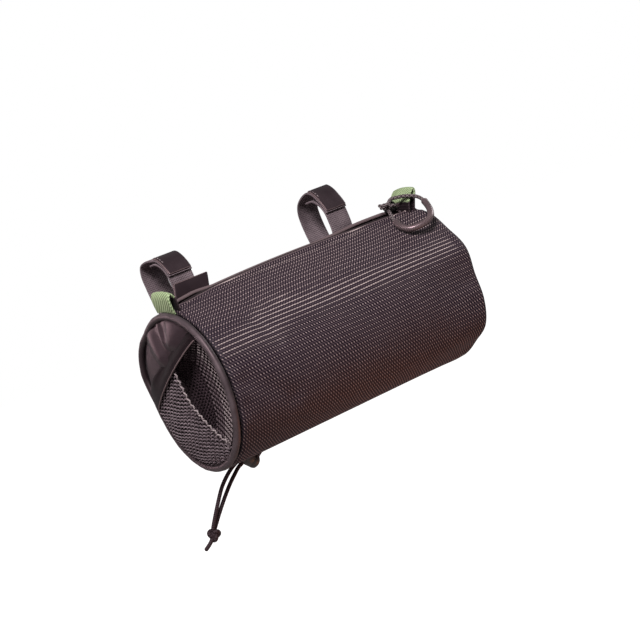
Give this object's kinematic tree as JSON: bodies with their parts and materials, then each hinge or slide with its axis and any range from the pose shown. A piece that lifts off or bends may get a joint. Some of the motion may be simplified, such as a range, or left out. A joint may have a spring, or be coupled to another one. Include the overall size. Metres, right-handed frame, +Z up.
{
  "type": "handlebar bag",
  "caption": "Barrel-shaped zipped fabric bag that hangs from a handlebar by wrap-round straps, with a mesh end pocket, grab tabs, a looped zip pull and an elastic cord.",
  "frame": {"origin": "on the axis of the handlebar that the straps wrap round, midway between the straps", "axes": "+X along the handlebar towards the zip pull, -Y towards the front of the bag, +Z up"},
  "size_m": [0.248, 0.1239, 0.2166],
  "materials": {
    "body_fabric": "woven ripstop with light reflective threads",
    "satin": "smooth coated cloth, satin",
    "piping": "corded edge binding",
    "mesh": "open stretch mesh",
    "zip": "coated zip tape",
    "slider": "black, satin",
    "cord": "braided cord",
    "sleeve": "soft satin sleeve",
    "webbing": "ribbed webbing",
    "hook_tape": "smooth hook tape, slight sheen",
    "tab_webbing": "ribbed green webbing",
    "plastic": "moulded, matt"
  },
  "bodies": {
    "root": {"body_panel": "body_fabric", "zip_tape": "zip", "zip_slider": "slider", "piping_left": "piping", "piping_right": "piping", "end_panel_left": "satin", "end_panel_right": "satin", "pocket_inner_mesh": "mesh", "pocket_mesh": "mesh", "pocket_binding": "satin", "tab_left": "tab_webbing", "tab_right": "tab_webbing", "strap_left": "webbing", "strap_patch_left": "hook_tape", "strap_right": "webbing", "strap_patch_right": "hook_tape", "strap_end_left": "hook_tape", "zip_pull_cord_upper": "cord", "zip_pull_sleeve": "sleeve", "zip_pull_cord_lower": "cord", "zip_pull_knot": "cord", "cord_strand_left": "cord", "cord_strand_right": "cord", "cord_knot": "cord", "cord_lock": "plastic", "cord_anchor": "webbing"}
  },
  "joints": []
}
